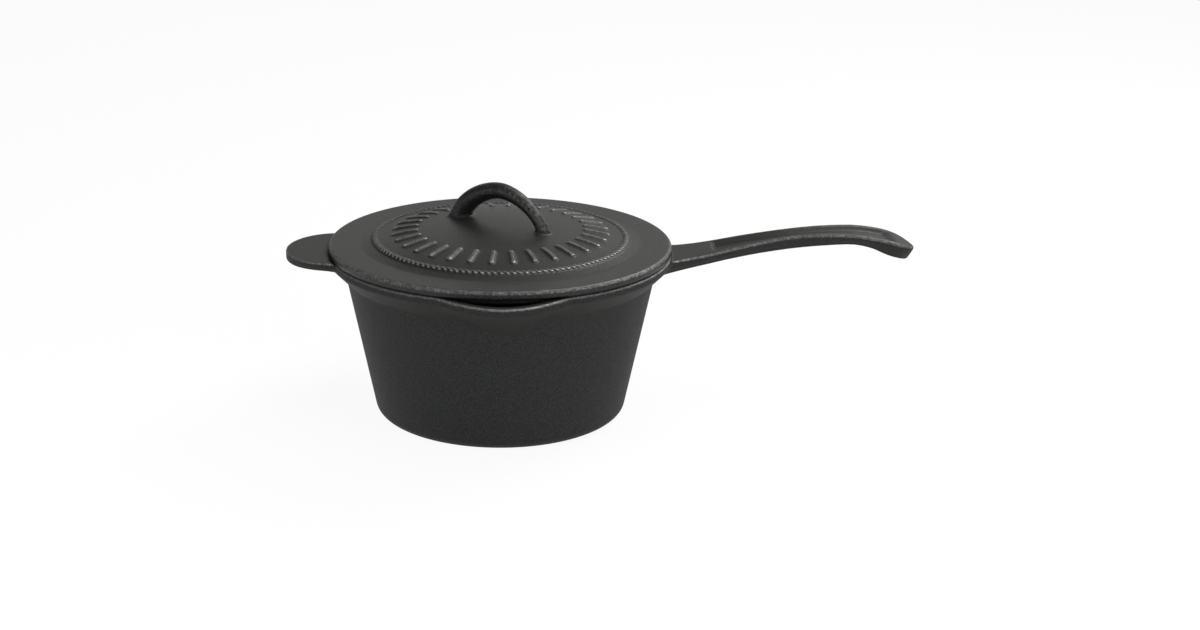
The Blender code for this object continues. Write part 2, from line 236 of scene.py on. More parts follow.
# %% Build the two shared effects
UPRIGHT_FACING = 0.30
LYING_FACING = 0.55
PEBBLE_NOISE = (2.0, 0.6)
PEBBLE_RANGE = (0.34, 0.66)
PATCH_NOISE = (4.0, 0.65)
PATCH_RANGE = (0.35, 0.65)
# The facing window keeps rubbed metal to the sides of edges where the lamps' highlights fall: partly a
# painted highlight.
GLEAM_STARTS_FACING = (-0.05, 0.30)
GLEAM_FADES_FACING = (0.85, 1.0)
GLEAM_LEFT_ON_TOP = 0.35
RUB_LEFT_IN_PITS = 0.25


def grain_group():
    """Facing is the upward part of the surface's normal: 1 on top, 0 on a wall, -1 underneath."""
    tree, given, out = new_shader_group("sand cast grain", {
        "Place": None, "Facing": 0.0, "Pebble Size": 0.001, "Pebble Depth": 0.0003, "Flat Share": 0.3},
        ("Height", "Sandy And Shaded", "Pebble"))
    sandy_and_shaded = span(tree, add_math(tree, "ABSOLUTE", given["Facing"]), LYING_FACING, UPRIGHT_FACING)
    pebble = noise(tree, given["Place"], given["Pebble Size"], *PEBBLE_NOISE)
    share = span(tree, sandy_and_shaded, 0.0, 1.0, given["Flat Share"], 1.0)
    depth = add_math(tree, "MULTIPLY", given["Pebble Depth"], share)
    feed(tree, out["Height"], add_math(tree, "MULTIPLY", pebble, depth))
    feed(tree, out["Sandy And Shaded"], sandy_and_shaded)
    feed(tree, out["Pebble"], span(tree, pebble, *PEBBLE_RANGE))
    return tree


def wear_group():
    """Rub is a point's own measure, shown in patches and first on pebbles; kept to upper sides, it is partly
    painted highlight.
    """
    tree, given, out = new_shader_group("rubbed edges and painted gleam", {
        "Place": None, "Facing": 0.0, "Rub": 0.0, "Pebble": 1.0, "Patch Size": 0.0022, "Breakup": 0.35},
        ("Mask",))
    patch = span(tree, noise(tree, given["Place"], given["Patch Size"], *PATCH_NOISE), *PATCH_RANGE)
    missing = add_math(tree, "MULTIPLY", add_math(tree, "SUBTRACT", 1.0, patch), given["Breakup"])
    rubbed = add_math(tree, "SUBTRACT", given["Rub"], missing, clamp=True)
    # Kept off undersides and faded on tops, so that the rubbed metal lies where the lamps' highlights fall.
    upward = add_math(tree, "MULTIPLY", span(tree, given["Facing"], *GLEAM_STARTS_FACING),
                      span(tree, given["Facing"], *GLEAM_FADES_FACING, 1.0, GLEAM_LEFT_ON_TOP))
    reached = span(tree, given["Pebble"], 0.0, 1.0, RUB_LEFT_IN_PITS, 1.0)
    touched_and_gleaming = add_math(tree, "MULTIPLY", upward, reached)
    feed(tree, out["Mask"], add_math(tree, "MULTIPLY", rubbed, touched_and_gleaming))
    return tree


GRAIN = grain_group()
WEAR_AND_GLEAM = wear_group()
print("shader groups:", GRAIN.name, "and", WEAR_AND_GLEAM.name)

# %% Make the iron
SEASONING_TINT = (0.955, 1.0, 0.935, 1.0)
# Pits of the pebbles are painted darker and pebble tops lighter: painted shade and painted highlight on the
# grain.
PIT_PAINTED_SHADE = 0.50
PEBBLE_PAINTED_HIGHLIGHT = 1.60


def opaque(colour, factor=1.0):
    """A colour times a factor, with the fourth value that a colour socket wants."""
    return (*(factor * part for part in colour), 1.0)


def mix_colour(tree, factor, first, second):
    mix = add_node(tree, "ShaderNodeMix", {"data_type": "RGBA"})
    for socket, value in ((mix.inputs[0], factor), (mix.inputs[6], first), (mix.inputs[7], second)):
        feed(tree, socket, value)
    return mix.outputs[2]


def mix_value(tree, factor, first, second):
    mix = add_node(tree, "ShaderNodeMix", {"data_type": "FLOAT"})
    for socket, value in ((mix.inputs[0], factor), (mix.inputs[2], first), (mix.inputs[3], second)):
        feed(tree, socket, value)
    return mix.outputs[0]


def iron(name, sandy_and_shaded, smooth, worn_and_gleaming, specular, roughness, pebble_size, pebble_depth):
    """Upright, lying and rubbed colours, the upright one with painted shade; roughness of walls, tops and
    rubbed iron.
    """
    material = bpy.data.materials.new(name)
    material.use_nodes = True
    tree = material.node_tree
    shader = tree.nodes["Principled BSDF"]
    shader.inputs["Specular IOR Level"].default_value = specular
    shader.inputs["Specular Tint"].default_value = SEASONING_TINT
    coordinates = add_node(tree, "ShaderNodeTexCoord").outputs
    place = coordinates["Object"]
    facing = split_xyz(tree, coordinates["Normal"])["Z"]
    grain = add_node(tree, "ShaderNodeGroup", {"node_tree": GRAIN}, Place=place, Facing=facing,
                     Pebble_Size=pebble_size, Pebble_Depth=pebble_depth).outputs
    rub = add_node(tree, "ShaderNodeAttribute", {"attribute_name": "rub", "attribute_type": "GEOMETRY"})
    wear = add_node(tree, "ShaderNodeGroup", {"node_tree": WEAR_AND_GLEAM}, Place=place, Facing=facing,
                    Rub=rub.outputs["Fac"], Pebble=grain["Pebble"]).outputs["Mask"]
    # The pebble speckle is painted shade in the pits and painted highlight on the pebble tops.
    painted_grain_shading = mix_colour(tree, grain["Pebble"], opaque(sandy_and_shaded, PIT_PAINTED_SHADE), opaque(sandy_and_shaded, PEBBLE_PAINTED_HIGHLIGHT))
    # Upright faces take the sandy colour, which carries painted shade; lying faces take the warmer smooth
    # colour.
    skin = mix_colour(tree, grain["Sandy And Shaded"], opaque(smooth), painted_grain_shading)
    # The rubbed colour is real wear, placed in part as a painted highlight.
    tree.links.new(mix_colour(tree, wear, skin, opaque(worn_and_gleaming)), shader.inputs["Base Color"])
    on_wall, on_top, on_rub = roughness
    on_skin = span(tree, facing, UPRIGHT_FACING, LYING_FACING, on_wall, on_top)
    tree.links.new(mix_value(tree, wear, on_skin, on_rub), shader.inputs["Roughness"])
    tree.links.new(wear, shader.inputs["Metallic"])
    bump = add_node(tree, "ShaderNodeBump", Strength=1.0, Distance=1.0, Height=grain["Height"])
    tree.links.new(bump.outputs[0], shader.inputs["Normal"])
    return material


# Upright faces: on the pan a cooler painted shade tint, on the lid also darker, painted shade on the loop
# and the edges.
PAN_IRON = iron("pan_iron", sandy_and_shaded=(0.0122, 0.0127, 0.0129), smooth=(0.0124, 0.0121, 0.0109),
                worn_and_gleaming=(0.26, 0.26, 0.256), specular=0.23, roughness=(0.66, 0.48, 0.33),
                pebble_size=0.0010, pebble_depth=0.00060)
LID_IRON = iron("lid_iron", sandy_and_shaded=(0.0088, 0.0091, 0.0092), smooth=(0.0112, 0.0110, 0.0100),
                worn_and_gleaming=(0.40, 0.40, 0.395), specular=0.28, roughness=(0.32, 0.44, 0.32),
                pebble_size=0.0010, pebble_depth=0.00060)
print("materials:", PAN_IRON.name, LID_IRON.name)

# %% [markdown]
# The bowl's section
#
# A bowl is turned on a lathe as a pattern before it is ever cast, so its natural description is half a
# section: foot, tapered wall, flare, upright rim band, then the same again inside, a wall's thickness in.
# The corners are true arcs, and the rest needs only a point where the line changes direction.

# %% Draw the bowl's section
WALL_FOOT_RADIUS = 0.0737
WALL_TAPER = 0.2027
BASE_CORNER_RADIUS = 0.006
WALL_START_HEIGHT = 0.010
FLARE_START_HEIGHT = 0.0829
FLARE_CREASE = 0.0008
CREASE_OUT_SHARE = 0.10
CREASE_UP_SHARE = 0.12
INNER_CREASE_SHARE = 0.75
RIM_HEIGHT = 0.0973
RIM_BAND_HEIGHT = 0.0043
RIM_OUTER_RADIUS = 0.1003
RIM_INNER_RADIUS = 0.0945
RIM_EDGE_ROUND = 0.0012
RIM_ROUND_START_DEGREES = 15.0
BAND_FOOT_ROUND = 0.0012
BAND_INNER_RISE = 0.0010
WALL_THICKNESS = 0.0045
FLOOR_THICKNESS = 0.005
INNER_CORNER_RADIUS = 0.012
WALL_LEAN = math.degrees(math.atan(WALL_TAPER))
WALL_SLANT = math.hypot(1.0, WALL_TAPER)
WALL_INSET = WALL_THICKNESS * WALL_SLANT
FLAT_STEPS = 12
WALL_STEPS = 24
FLARE_STEPS = 8


def arc(centre_r, centre_z, radius, start_degrees, end_degrees, steps):
    """Points of a round corner, as (distance from the axis, height)."""
    points = []
    for step in range(steps + 1):
        angle = math.radians(start_degrees + (end_degrees - start_degrees) * step / steps)
        points.append((centre_r + radius * math.cos(angle), centre_z + radius * math.sin(angle)))
    return points


def wall_radius(height):
    return WALL_FOOT_RADIUS + WALL_TAPER * height


def wall_points(start, end, inset):
    """Evenly spaced points up or down the tapered wall."""
    heights = [start + (end - start) * step / WALL_STEPS for step in range(WALL_STEPS + 1)]
    return [(wall_radius(height) - inset, height) for height in heights]


def flare_points(inset, foot, end_radius, end_height):
    """The slanting stretch from the wall out to the rim band, with a soft crease where it starts."""
    start_r = wall_radius(foot) - inset
    points = [(start_r + CREASE_OUT_SHARE * FLARE_CREASE, foot + CREASE_UP_SHARE * FLARE_CREASE)]
    for step in range(1, FLARE_STEPS + 1):
        share = step / FLARE_STEPS
        points.append((start_r + (end_radius - start_r) * share, foot + (end_height - foot) * share))
    return points


def bowl_section():
    """From the middle of the underside, out, up, over the rim, and down inside to the middle again."""
    corner = BASE_CORNER_RADIUS
    band = RIM_HEIGHT - RIM_BAND_HEIGHT
    edge = RIM_EDGE_ROUND
    corner_r = wall_radius(corner) - corner * WALL_SLANT
    points = [(corner_r * step / FLAT_STEPS, 0.0) for step in range(FLAT_STEPS)]
    points += arc(corner_r, corner, corner, -90.0, -WALL_LEAN, steps=10)
    points += wall_points(WALL_START_HEIGHT, FLARE_START_HEIGHT - FLARE_CREASE, 0.0)
    points += flare_points(0.0, FLARE_START_HEIGHT, RIM_OUTER_RADIUS, band)
    points += [(RIM_OUTER_RADIUS, band + BAND_FOOT_ROUND), (RIM_OUTER_RADIUS, RIM_HEIGHT - edge)]
    points += arc(RIM_OUTER_RADIUS - edge, RIM_HEIGHT - edge, edge, RIM_ROUND_START_DEGREES, 90.0, steps=5)
    points += arc(RIM_INNER_RADIUS + edge, RIM_HEIGHT - edge, edge, 90.0, 180.0, steps=6)
    inner_foot = FLARE_START_HEIGHT + INNER_CREASE_SHARE * FLARE_CREASE
    points += reversed(flare_points(WALL_INSET, inner_foot, RIM_INNER_RADIUS, band + BAND_INNER_RISE))
    radius = INNER_CORNER_RADIUS
    centre_z = FLOOR_THICKNESS + radius
    centre_r = wall_radius(centre_z) - WALL_INSET - radius * WALL_SLANT
    points += wall_points(inner_foot - 2.0 * FLARE_CREASE, centre_z, WALL_INSET)
    points += arc(centre_r, centre_z, radius, -WALL_LEAN, -90.0, steps=14)[1:]
    points += [(centre_r * (1.0 - step / FLAT_STEPS), FLOOR_THICKNESS) for step in range(1, FLAT_STEPS + 1)]
    return points


section = bowl_section()
print("bowl section:", len(section), "points, rim at", max(height for _, height in section))

# %% [markdown]
# Turning the bowl and pressing out its lips
#
# One Geometry Nodes tree turns the section round the axis and then presses out the two pouring lips. A
# grid gives the skin: its columns are azimuths and its rows are the section's points. The lips follow a
# rule, so they are nodes too. Near the front and the back the rim is drawn outward and a little down, and
# the foot of the flare slides down the wall, which makes the pointed chin under each lip.

# %% Make the bowl with Geometry Nodes
LIP_REACH = 0.009
LIP_DIP = 0.0016
LIP_HALF_ANGLE = math.radians(22.0)
LIP_ROUNDNESS = 1.25
CHIN_DROP = 0.0084
CHIN_HALF_ANGLE = math.radians(16.5)
CHIN_ROUNDNESS = 2.0
CHIN_FADE_START = 0.045
BOWL_COLUMNS = 360
WELD_DISTANCE = 0.00001


def share_of_angle(tree, offset, half_angle, power):
    """1 in the middle of a lip and 0 past its half angle, along a cosine."""
    share = add_math(tree, "DIVIDE", offset, half_angle, clamp=True)
    cosine = add_math(tree, "COSINE", add_math(tree, "MULTIPLY", share, math.pi / 2.0))
    return add_math(tree, "POWER", add_math(tree, "MAXIMUM", cosine, 0.0), power)


def bowl_tree(points_in_section):
    """Turns the section that it is given round the axis, then presses the lips out of the rim."""
    tree, start, end = new_geometry_tree("turned bowl with lips", {
        "Geometry": ("geometry", None), "Columns": ("int", 64), "Foot Height": ("float", 0.08),
        "Band Height": ("float", 0.09), "Fade Start": ("float", 0.04), "Wall Taper": ("float", 0.2),
        "Lip Reach": ("float", 0.009), "Lip Dip": ("float", 0.003), "Lip Half Angle": ("float", 0.4),
        "Chin Drop": ("float", 0.009), "Chin Half Angle": ("float", 0.3), "Material": ("material", None)})
    given = start.outputs
    columns = add_math(tree, "ADD", given["Columns"], 1.0)
    grid = add_node(tree, "GeometryNodeMeshGrid", Vertices_X=columns, Vertices_Y=points_in_section)
    index = add_node(tree, "GeometryNodeInputIndex").outputs[0]
    row = add_math(tree, "MODULO", index, float(points_in_section))
    column = add_math(tree, "FLOOR", add_math(tree, "DIVIDE", add_math(tree, "ADD", index, 0.5),
                                              float(points_in_section)))
    sample = add_node(tree, "GeometryNodeSampleIndex", {"data_type": "FLOAT_VECTOR"},
                      Geometry=given["Geometry"], Index=row)
    feed(tree, value_socket(sample), own_position(tree))
    radius, _, height = split_xyz(tree, sample.outputs[0])
    turn = add_math(tree, "DIVIDE", add_math(tree, "MULTIPLY", column, 2.0 * math.pi), given["Columns"])
    cosine = add_math(tree, "COSINE", turn)
    sine = add_math(tree, "SINE", turn)
    # The angle from the Y axis is 0 in the middle of both lips
    offset = add_math(tree, "ARCTAN2", add_math(tree, "ABSOLUTE", cosine), add_math(tree, "ABSOLUTE", sine))
    lip = share_of_angle(tree, offset, given["Lip Half Angle"], LIP_ROUNDNESS)
    chin = share_of_angle(tree, offset, given["Chin Half Angle"], CHIN_ROUNDNESS)
    flare_span = add_math(tree, "SUBTRACT", given["Band Height"], given["Foot Height"])
    above_foot = add_math(tree, "SUBTRACT", height, given["Foot Height"])
    up = add_math(tree, "DIVIDE", above_foot, flare_span, clamp=True)
    down = add_math(tree, "SUBTRACT", 1.0, up)
    fade_span = add_math(tree, "SUBTRACT", given["Foot Height"], given["Fade Start"])
    above_fade = add_math(tree, "SUBTRACT", height, given["Fade Start"])
    fade = add_math(tree, "DIVIDE", above_fade, fade_span, clamp=True)
    slide = add_math(tree, "MULTIPLY", add_math(tree, "MULTIPLY", down, fade),
                     add_math(tree, "MULTIPLY", given["Chin Drop"], chin))
    pull = add_math(tree, "MULTIPLY", up, lip)
    out = add_math(tree, "SUBTRACT", add_math(tree, "MULTIPLY", pull, given["Lip Reach"]),
                   add_math(tree, "MULTIPLY", slide, given["Wall Taper"]))
    drop = add_math(tree, "ADD", add_math(tree, "MULTIPLY", pull, given["Lip Dip"]), slide)
    full_radius = add_math(tree, "ADD", radius, out)
    point = join_xyz(tree, add_math(tree, "MULTIPLY", full_radius, cosine),
                     add_math(tree, "MULTIPLY", full_radius, sine), add_math(tree, "SUBTRACT", height, drop))
    placed = add_node(tree, "GeometryNodeSetPosition", Geometry=grid.outputs["Mesh"], Position=point)
    welded = add_node(tree, "GeometryNodeMergeByDistance", Geometry=placed.outputs[0],
                      Distance=WELD_DISTANCE)
    end_tree(tree, start, end, welded.outputs[0])
    return tree


def line_mesh(name, points):
    """A section as a mesh of points and edges in the XZ plane."""
    mesh = bpy.data.meshes.new(name)
    edges = [(place, place + 1) for place in range(len(points) - 1)]
    mesh.from_pydata([(radius, 0.0, height) for radius, height in points], edges, [])
    return mesh


bowl = run_tree(bowl_tree(len(section)), {
    "Columns": BOWL_COLUMNS, "Foot Height": FLARE_START_HEIGHT, "Band Height": RIM_HEIGHT - RIM_BAND_HEIGHT,
    "Fade Start": CHIN_FADE_START, "Wall Taper": WALL_TAPER, "Lip Reach": LIP_REACH, "Lip Dip": LIP_DIP,
    "Lip Half Angle": LIP_HALF_ANGLE, "Chin Drop": CHIN_DROP, "Chin Half Angle": CHIN_HALF_ANGLE,
    "Material": PAN_IRON,
}, "bowl", line_mesh("bowl_section", section))

# %% [markdown]
# The long handle and the helper tab
#
# A pattern maker draws a handle as a row of sections, and that is a loft: the same outline, with other
# sizes, at many distances. Between the drawn stations a smooth curve fills in the rest. The top is a
# shallow trough between two ridges, the flanks narrow towards the underside so the pattern leaves the
# sand, and the end is round. Both arms start inside the iron of the rim, so that they can grow into it.

# %% Helpers for lofting
RIDGE_WIDTH = 0.0032
ROOT_RADIUS = 0.0974
ROOT_LEAN = 0.0070
ROOT_BLEND = 0.028
NARROWEST_FULL_EDGE = 0.006
NARROWEST_FULL_RIDGE = 0.009
RIDGE_SPREAD = 1.3
RIDGE_STEPS = 8
FLANK_BREAK = 0.62
FLOOR_MIDDLE_SHARE = 0.55
UNDERSIDE_SHARES = (0.6, 0.3, 0.0)


def smoothstep(start, end, value):
    """0 before start, 1 after end, and a soft S between them."""
    share = min(max((value - start) / (end - start), 0.0), 1.0)
    return share * share * (3.0 - 2.0 * share)


def close_end(builder, row):
    """Close a ring with strips that join each point to the one across, so a curved end stays curved."""
    count = len(row)
    for side in (1, -1):
        for index in range(count // 4):
            places = (side * index, side * (index + 1))
            across = (count // 2 - side * (index + 1), count // 2 - side * index)
            corners = [row[place % count] for place in places + across]
            builder.faces.new(list(dict.fromkeys(corners)))


def loft(name, rings):
    """A closed body stretched over rings of equal point counts."""
    builder = bmesh.new()
    rows = [[builder.verts.new(point) for point in ring] for ring in rings]
    count = len(rows[0])
    for row, following in zip(rows, rows[1:]):
        for index in range(count):
            after = (index + 1) % count
            builder.faces.new((row[index], row[after], following[after], following[index]))
    close_end(builder, rows[0])
    close_end(builder, rows[-1])
    bmesh.ops.recalc_face_normals(builder, faces=builder.faces)
    mesh = bpy.data.meshes.new(name)
    builder.to_mesh(mesh)
    builder.free()
    made = bpy.data.objects.new(name, mesh)
    bpy.context.scene.collection.objects.link(made)
    print(name, "lofted over", len(rings), "sections")
    return made


def half_outline(half, base, depth, trough, edge_round):
    """Half of an arm's section, from the middle of its top to the middle of its underside."""
    edge = edge_round * min(1.0, half / NARROWEST_FULL_EDGE)
    ridge = RIDGE_WIDTH * min(1.0, half / NARROWEST_FULL_RIDGE)
    floor_edge = half - edge - ridge
    points = [(0.0, trough), (FLOOR_MIDDLE_SHARE * floor_edge, trough)]
    for step in range(1, RIDGE_STEPS + 1):
        share = step / RIDGE_STEPS
        rise = smoothstep(0.0, 1.0, share)
        points.append((floor_edge + ridge * (share - 0.5) * RIDGE_SPREAD, trough * (1.0 - rise)))
    points += [(y, -z) for y, z in arc(half - edge, -edge, edge, 90.0, 0.0, steps=4)]
    points.append((base + 0.5 * (half - base), FLANK_BREAK * depth))
    points += [(y, -z) for y, z in arc(base - edge, edge - depth, edge, 0.0, -90.0, steps=4)]
    return points + [(share * (base - edge), depth) for share in UNDERSIDE_SHARES]


def arm_ring(distance, half, top, depth, draft, trough, edge_round, lean, bend, side):
    """One upright section; lean carries the underside back to the pan, bend curves it with the rim."""
    profile = half_outline(half, half * draft, depth, trough, edge_round)
    outline = profile + [(-y, drop) for y, drop in reversed(profile[1:-1])]
    at_edge = math.sqrt(ROOT_RADIUS ** 2 - half ** 2)
    ring = []
    for y, drop in outline:
        x = distance - lean * drop / depth
        x += bend * (math.sqrt(ROOT_RADIUS ** 2 - y ** 2) - at_edge)
        ring.append((side * x, side * y, top - drop))
    return ring


# %% Loft the long handle
# Each station is its distance from the bowl's axis, half its width, the height of its top, its thickness
HANDLE_STATIONS = (
    (0.0970, 0.0206, 0.0947, 0.0105), (0.1040, 0.0171, 0.0954, 0.0093), (0.1200, 0.0146, 0.0980, 0.0074),
    (0.1460, 0.0118, 0.1035, 0.0077), (0.1700, 0.0099, 0.1076, 0.0084), (0.1900, 0.0111, 0.1092, 0.0078),
    (0.2080, 0.0130, 0.1092, 0.0068), (0.2200, 0.0147, 0.1078, 0.0073), (0.2300, 0.0156, 0.1057, 0.0090),
    (0.2385, 0.0156, 0.1029, 0.0088), (0.2460, 0.0156, 0.0991, 0.0074))
HANDLE_END_CENTRE = 0.2302
HANDLE_END_RADIUS = 0.0156
HANDLE_END_LEAN = 0.0042
HANDLE_LEAN_SHARE = 0.55
HANDLE_DRAFT = 0.82
HANDLE_EDGE_ROUND = 0.0020
HANDLE_SECTIONS = 130
HANDLE_END_SECTIONS = 22
END_LEAN_START = 0.200
LAST_TURN = math.radians(86.0)
TROUGH_START = 0.1245
TROUGH_END = 0.2340
TROUGH_RAMP = 0.0024
TROUGH_CLOSE = 0.0060
TROUGH_DEPTH = 0.0026


def station_at(distance):
    """Half width, top height and thickness at any distance, on a smooth curve through the stations."""
    last = len(HANDLE_STATIONS) - 2
    left = max(place for place in range(last + 1) if place == 0 or HANDLE_STATIONS[place][0] <= distance)
    before = HANDLE_STATIONS[max(left - 1, 0)]
    start, end = HANDLE_STATIONS[left], HANDLE_STATIONS[left + 1]
    after = HANDLE_STATIONS[min(left + 2, last + 1)]
    length = end[0] - start[0]
    share = (distance - start[0]) / length
    cube, square = share ** 3, share ** 2
    values = []
    for field in range(1, 4):
        slope_in = (end[field] - before[field]) / (end[0] - before[0]) * length
        slope_out = (after[field] - start[field]) / (after[0] - start[0]) * length
        value = (2.0 * cube - 3.0 * square + 1.0) * start[field] + (cube - 2.0 * square + share) * slope_in
        values.append(value + (3.0 * square - 2.0 * cube) * end[field] + (cube - square) * slope_out)
    return values


def trough_depth(distance):
    """A ramp down where the trough starts and up again where it ends."""
    opening = smoothstep(TROUGH_START, TROUGH_START + TROUGH_RAMP, distance)
    return TROUGH_DEPTH * opening * (1.0 - smoothstep(TROUGH_END - TROUGH_CLOSE, TROUGH_END, distance))


def make_handle():
    """Upright sections out to the end's centre, then ever narrower ones round its end."""
    root_half = HANDLE_STATIONS[0][1]
    root_edge = math.sqrt(ROOT_RADIUS ** 2 - root_half ** 2)
    rings = []
    for step in range(HANDLE_SECTIONS):
        distance = root_edge + (HANDLE_END_CENTRE - root_edge) * step / HANDLE_SECTIONS
        bend = 1.0 - smoothstep(root_edge, root_edge + ROOT_BLEND, distance)
        half, top, depth = station_at(max(distance, HANDLE_STATIONS[0][0]))
        end_lean = HANDLE_LEAN_SHARE * smoothstep(END_LEAN_START, HANDLE_END_CENTRE, distance)
        lean = ROOT_LEAN * bend + HANDLE_END_LEAN * end_lean
        rings.append(arm_ring(distance, half, top, depth, HANDLE_DRAFT, trough_depth(distance),
                              HANDLE_EDGE_ROUND, lean, bend, 1))
    for step in range(HANDLE_END_SECTIONS):
        turn = LAST_TURN * step / (HANDLE_END_SECTIONS - 1)
        distance = HANDLE_END_CENTRE + HANDLE_END_RADIUS * math.sin(turn)
        _, top, depth = station_at(distance)
        half = HANDLE_END_RADIUS * math.cos(turn)
        lean = HANDLE_END_LEAN * (HANDLE_LEAN_SHARE + (1.0 - HANDLE_LEAN_SHARE) * math.sin(turn))
        rings.append(arm_ring(distance, half, top, depth, HANDLE_DRAFT, trough_depth(distance),
                              HANDLE_EDGE_ROUND, lean, 0.0, 1))
    return loft("handle", rings)


handle = make_handle()

# %% Loft the helper tab
TAB_CENTRE = 0.097
TAB_LENGTH = 0.0282
TAB_HALF_WIDTH = 0.0325
TAB_TOP = 0.0980
TAB_ROOT_SINK = 0.0007
TAB_THICKNESS = 0.0055
TAB_FILLET = 0.0066
TAB_DRAFT = 0.95
TAB_EDGE_ROUND = 0.0012
TAB_ROOT_SECTIONS = 6
TAB_SECTIONS = 44


def make_tab():
    """Its top dips a little at the root, where the lid lies over it."""
    root_edge = math.sqrt(ROOT_RADIUS ** 2 - TAB_HALF_WIDTH ** 2)
    root_top = RIM_HEIGHT - TAB_ROOT_SINK
    outlines = []
    for step in range(TAB_ROOT_SECTIONS):
        share = step / TAB_ROOT_SECTIONS
        distance = root_edge + (TAB_CENTRE - root_edge) * share
        outlines.append((distance, TAB_HALF_WIDTH, root_top + (TAB_TOP - root_top) * share))
    for step in range(TAB_SECTIONS):
        turn = LAST_TURN * step / (TAB_SECTIONS - 1)
        distance = TAB_CENTRE + TAB_LENGTH * math.sin(turn)
        outlines.append((distance, TAB_HALF_WIDTH * math.cos(turn), TAB_TOP))
    rings = []
    for distance, half, top in outlines:
        bend = 1.0 - smoothstep(root_edge, root_edge + ROOT_BLEND, distance)
        fall = max(0.0, 1.0 - (distance - root_edge) / (2.0 * TAB_FILLET))
        depth = TAB_THICKNESS + TAB_FILLET * (1.0 - math.sqrt(1.0 - fall ** 2))
        rings.append(arm_ring(distance, half, top, depth, TAB_DRAFT, 0.0, TAB_EDGE_ROUND,
                              ROOT_LEAN * bend, bend, -1))
    return loft("tab", rings)


tab = make_tab()

# %% [markdown]
# The lid's plate
#
# The lid is turned like the bowl, so the same tree makes it, with its lips set to nothing. Its section has
# a flat ring that lies on the rim, a shallow dome inside a crisp crease, and under it a locating ring that
# keeps the lid from sliding off.

# %% Turn the lid's plate
LID_RADIUS = 0.1003
LID_TOP = 0.1027
LID_UPPER_EDGE_ROUND = 0.0022
LID_LOWER_EDGE_ROUND = 0.0010
LID_GAP = 0.0003
LID_UNDERSIDE = RIM_HEIGHT + LID_GAP
DOME_RADIUS = 0.082
DOME_RISE = 0.0113
DOME_THICKNESS = 0.0042
DOME_SPHERE = (DOME_RADIUS ** 2 + DOME_RISE ** 2) / (2.0 * DOME_RISE)
RING_OUTER = 0.0920
RING_INNER = 0.0885
RING_DEPTH = 0.0050
RING_EDGE_ROUND = 0.0009
RING_FILLET = 0.0012
RING_SHOULDER = 0.0033
HOLLOW_GAP = 0.0030
HOLLOW_SPREAD = 0.96
HOLLOW_FILLET = ((0.0020, 0.0004), (0.0008, 0.0012))
HOLLOW_STEPS = 24
FLAT_POINTS = (0.005, 0.009, 0.013)
DOME_STEPS = 40
LID_COLUMNS = 360
# Lips of no size at a height that the lid doesn't reach, so the tree only turns the section
NO_LIPS = {"Foot Height": 0.2, "Band Height": 0.3, "Fade Start": 0.1, "Wall Taper": 0.0, "Lip Reach": 0.0,
           "Lip Dip": 0.0, "Lip Half Angle": 1.0, "Chin Drop": 0.0, "Chin Half Angle": 1.0}


def dome_height(radius):
    """Height of the dome's upper face, a shallow cap of a sphere."""
    return LID_TOP + DOME_RISE - DOME_SPHERE + math.sqrt(DOME_SPHERE ** 2 - radius ** 2)


def lid_section():
    """From the middle of the underside, out round the edge and in over the dome."""
    foot = LID_UNDERSIDE - RING_DEPTH
    lower, upper, edge = LID_LOWER_EDGE_ROUND, LID_UPPER_EDGE_ROUND, RING_EDGE_ROUND
    hollow = [(RING_INNER - HOLLOW_GAP) * step / HOLLOW_STEPS for step in range(HOLLOW_STEPS)]
    points = [(radius, dome_height(radius * HOLLOW_SPREAD) - DOME_THICKNESS) for radius in hollow]
    points += [(RING_INNER - inward, LID_UNDERSIDE - below) for inward, below in HOLLOW_FILLET]
    points += arc(RING_INNER + edge, foot + edge, edge, 180.0, 270.0, steps=4)
    points += arc(RING_OUTER - edge, foot + edge, edge, 270.0, 360.0, steps=4)
    points += [(RING_OUTER, LID_UNDERSIDE - RING_FILLET), (RING_OUTER, LID_UNDERSIDE)]
    points += [(RING_OUTER + RING_SHOULDER, LID_UNDERSIDE)]
    points += arc(LID_RADIUS - lower, LID_UNDERSIDE + lower, lower, -90.0, 0.0, steps=5)
    points += arc(LID_RADIUS - upper, LID_TOP - upper, upper, 0.0, 90.0, steps=8)
    points += [(LID_RADIUS - inward, LID_TOP) for inward in FLAT_POINTS]
    dome = [DOME_RADIUS * (1.0 - step / DOME_STEPS) for step in range(DOME_STEPS + 1)]
    return points + [(radius, dome_height(radius)) for radius in dome]


plate_section = lid_section()
plate = run_tree(bowl_tree(len(plate_section)), {**NO_LIPS, "Columns": LID_COLUMNS, "Material": LID_IRON},
                 "plate", line_mesh("plate_section", plate_section))

# %% [markdown]
# The lid's loop
#
# The loop is a round bar that follows an arch, so nodes can sweep it. A straight curve is bent by a rule
# for its position, and a second rule gives the bar's thickness along the way: it thins towards one side,
# as the cast one does, and spreads where its feet meet the dome.

# %% Sweep the loop with Geometry Nodes
LOOP_AZIMUTH = math.radians(-37.5)
LOOP_HALF_SPAN = 0.0311
LOOP_TOP = 0.1372
LOOP_FOOT = 0.1087
LOOP_ARCH_POWER = 1.15
LOOP_BAR = 0.00935
LOOP_TAPER = 0.27
LOOP_FOOT_FLARE = 0.30
LOOP_FLARE_HEIGHT = 0.0040
LOOP_POINTS = 97
LOOP_SIDES = 40
LOOP_START_DEGREES = 1.0
LOOP_SWEEP_DEGREES = 178.0


